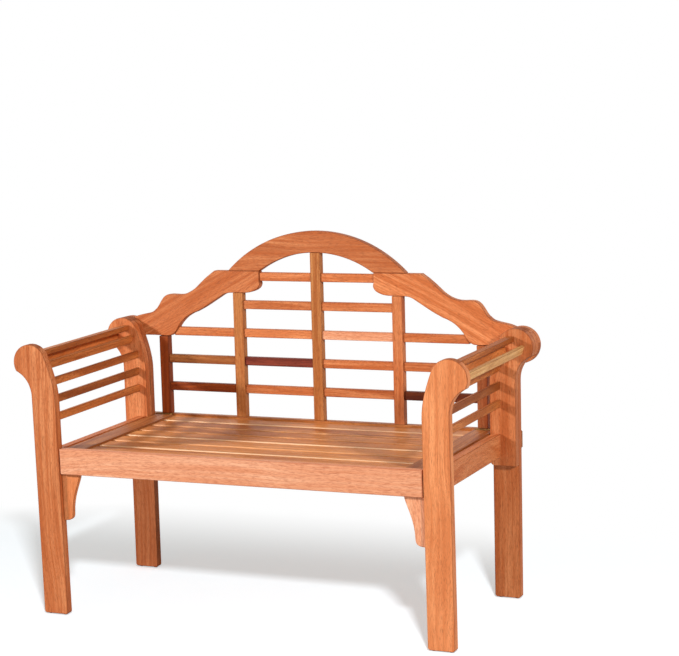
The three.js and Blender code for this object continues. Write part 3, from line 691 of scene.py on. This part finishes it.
# %% Screws in the leaves of the seat's hinges
LEAF = 1.5 * MM
LEAF_SCREW = 2.8 * MM
LEAF_END = 11 * MM
LEAF_FOOT = 8.5 * MM
for side in ("left", "right"):
    for part, body in (("moving", "seat"), ("fixed", "frame")):
        low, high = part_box("seat_hinge_" + part + "_leaf_" + side)
        facing, y = (ALONG_Y, low.y + LEAF) if part == "moving" else (-ALONG_Y, high.y - LEAF)
        bm = bmesh.new()
        for x in (low.x + LEAF_END, high.x - LEAF_END):
            screw(bm, (x, y, low.z + LEAF_FOOT), facing, LEAF_SCREW)
        finish_piece(bm, "screws_" + part + "_leaf_" + side, body, SCREW_BRASS)

# %% [markdown]
# ## Floor and light
# The photograph was taken on white paper. A key lamp stands at the front left and draws the bands
# of shadow on the right arm. A weaker and warmer one at the front right lays the slanting shadow
# on the right of the seat. The paper shows neither: its only shadow falls behind the bench and to
# the left, and thins out there. So those two lamps shine on the bench alone, and a third one, from
# the front right too, on the paper alone.

# %% Floor
PAPER_COLOURS = (rgb(234, 245, 253), rgb(238, 248, 255))
PAPER_MOTTLE = (6.0, 6.0, 6.0)
WHITE = (1.0, 1.0, 1.0, 1.0)
FLOOR_HALF = 9.0
PAPER_LIFT = 0.44
LIFT_TINT = (0.95, 0.98, 1.0, 1.0)
# In metres: where the shadow starts and ends to fade out, all around and behind the bench.
FADE_START = 1.2
FADE_END = 2.2
BEHIND_START = 0.32
BEHIND_END = 1.0


def paper(name):
    """White paper. Seen by the camera it is lifted to white, and its shadow stays."""
    material, start, shader = new_material(name, Roughness=0.9, Specular_IOR_Level=0.1)
    tree = start.tree
    place = start.node("ShaderNodeTexCoord", None, None, output="Object")
    mottle = place.noise(PAPER_MOTTLE, detail=2.0)
    wire(mottle.blend(*PAPER_COLOURS), shader, "Base Color")
    rays = start.node("ShaderNodeLightPath", None, None, output="Is Camera Ray")
    lit = Signal(tree, shader.outputs[0])
    lift = start.node("ShaderNodeEmission", None, {"Color": LIFT_TINT, "Strength": PAPER_LIFT})
    lifted = start.node("ShaderNodeAddShader", None, {0: lit, 1: lift})
    near = start.node("ShaderNodeMixShader", None, {0: rays, 1: lit, 2: lifted})
    white = start.node("ShaderNodeEmission", None, {"Color": WHITE, "Strength": 1.0})
    distance = start.node("ShaderNodeVectorMath", {"operation": "LENGTH"}, {0: place}, output="Value")
    depth = start.node("ShaderNodeSeparateXYZ", None, {0: place}, output="Y")
    fade = distance.between(FADE_START, FADE_END) + depth.between(BEHIND_START, BEHIND_END)
    both = start.node("ShaderNodeMixShader", None, {0: fade * rays, 1: near, 2: white})
    tree.links.new(both.socket, tree.nodes["Material Output"].inputs["Surface"])
    return material


bm = bmesh.new()
bmesh.ops.create_grid(bm, x_segments=1, y_segments=1, size=FLOOR_HALF)
floor_mesh = bpy.data.meshes.new("floor")
bm.to_mesh(floor_mesh)
bm.free()
floor_mesh.materials.append(paper("white_paper"))
floor = bpy.data.objects.new("floor", floor_mesh)
ground = bpy.data.collections.new("ground")
bpy.context.scene.collection.children.link(ground)
ground.objects.link(floor)
print("floor:", 2 * FLOOR_HALF, "m wide")

# %% [markdown]
# ## World and lamps
# A real studio also has walls that throw light back. The world does that here, weak and warm. To
# the camera and to reflections it is plain white, as the backdrop was. Each lamp is given by the
# way its light travels, its distance and width in metres, and how bright it makes white paper.

# %% World and lamps
WORLD_LIGHT = 0.25
WARM = (1.0, 0.9, 0.78, 1.0)
FILL_COLOUR = (1.0, 0.93, 0.84)
LAMP_AIM = Vector((0, 0, 0.45))
world = bpy.data.worlds.new("studio")
world.use_nodes = True
bpy.context.scene.world = world
sky = Signal(world.node_tree)
seen = sky.node("ShaderNodeLightPath", output="Is Camera Ray")
seen = seen + sky.node("ShaderNodeLightPath", output="Is Glossy Ray")
seen = seen + sky.node("ShaderNodeLightPath", output="Is Transmission Ray")
around = sky.node("ShaderNodeBackground", None, {"Color": WARM, "Strength": WORLD_LIGHT})
backdrop = sky.node("ShaderNodeBackground", None, {"Color": WHITE, "Strength": 1.0})
both = sky.node("ShaderNodeMixShader", None, {0: seen.between(0.0, 1.0), 1: around, 2: backdrop})
world_output = world.node_tree.nodes["World Output"]
world.node_tree.links.new(both.socket, world_output.inputs["Surface"])


def lamp(name, shine, distance, width, level):
    """A square lamp that shines in one direction at the bench. At level 1 white renders white."""
    light = bpy.data.lights.new(name, "AREA")
    light.shape = "SQUARE"
    light.size = width
    light.energy = level * (math.pi * distance) ** 2
    holder = bpy.data.objects.new(name, light)
    direction = Vector(shine).normalized()
    holder.location = LAMP_AIM - direction * distance
    holder.rotation_euler = direction.to_track_quat("-Z", "Y").to_euler()
    bpy.context.scene.collection.objects.link(holder)
    return holder


key = lamp("key", (0.78, 0.47, -0.40), distance=7.0, width=0.6, level=0.98)
fill = lamp("fill", (-0.80, 0.60, -0.44), distance=9.0, width=0.9, level=0.62)
fill.data.color = FILL_COLOUR
low_sun = lamp("low_sun", (-0.60, 1.0, -0.72), distance=9.0, width=0.6, level=0.86)
key.light_linking.receiver_collection = bench
fill.light_linking.receiver_collection = bench
low_sun.light_linking.receiver_collection = ground
print("lamps:", key.name, fill.name, low_sun.name)

# %% [markdown]
# ## Camera
# The view was fitted to the photograph: a long lens from the front right, half a metre higher than
# the back, turned slightly about its own axis. The picture was cropped off centre, which is what
# the lens shift says.

# %% Camera
PHOTO_WIDTH, PHOTO_HEIGHT = 679, 656
AZIMUTH = math.radians(25.186)
ELEVATION = math.radians(10.303)
ROLL = math.radians(-2.24)
FOCAL_PIXELS = 2027.4
CENTRE_X, CENTRE_Y = 296.2, 399.1
DISTANCE = 5.1918
SIDEWAYS, UPWARDS = 0.0604, 0.1992
SENSOR = 36.0
TARGET_BEHIND_FRONT, TARGET_HEIGHT = 0.220, 0.350
target = Vector((0, TARGET_BEHIND_FRONT + cad_box[0][1], TARGET_HEIGHT))
forward = Vector((
    -math.sin(AZIMUTH) * math.cos(ELEVATION),
    math.cos(AZIMUTH) * math.cos(ELEVATION),
    -math.sin(ELEVATION),
))
level_right = Vector((math.cos(AZIMUTH), math.sin(AZIMUTH), 0))
level_up = level_right.cross(forward)
right = math.cos(ROLL) * level_right + math.sin(ROLL) * level_up
up = math.cos(ROLL) * level_up - math.sin(ROLL) * level_right
lens = bpy.data.cameras.new("camera")
lens.sensor_width = SENSOR
lens.lens = FOCAL_PIXELS * SENSOR / PHOTO_WIDTH
lens.shift_x = (PHOTO_WIDTH / 2 - CENTRE_X) / PHOTO_WIDTH
lens.shift_y = (CENTRE_Y - PHOTO_HEIGHT / 2) / PHOTO_WIDTH
camera = bpy.data.objects.new("camera", lens)
turn = camera.matrix_world.to_3x3()
turn.col[0], turn.col[1], turn.col[2] = right, up, -forward
camera.matrix_world = turn.to_4x4()
camera.location = target - forward * DISTANCE + right * SIDEWAYS + up * UPWARDS
bpy.context.scene.collection.objects.link(camera)
bpy.context.scene.camera = camera
bpy.context.scene.view_settings.view_transform = "Standard"
print("lens:", round(lens.lens, 1), "mm, camera at height", round(camera.location.z, 2), "m")
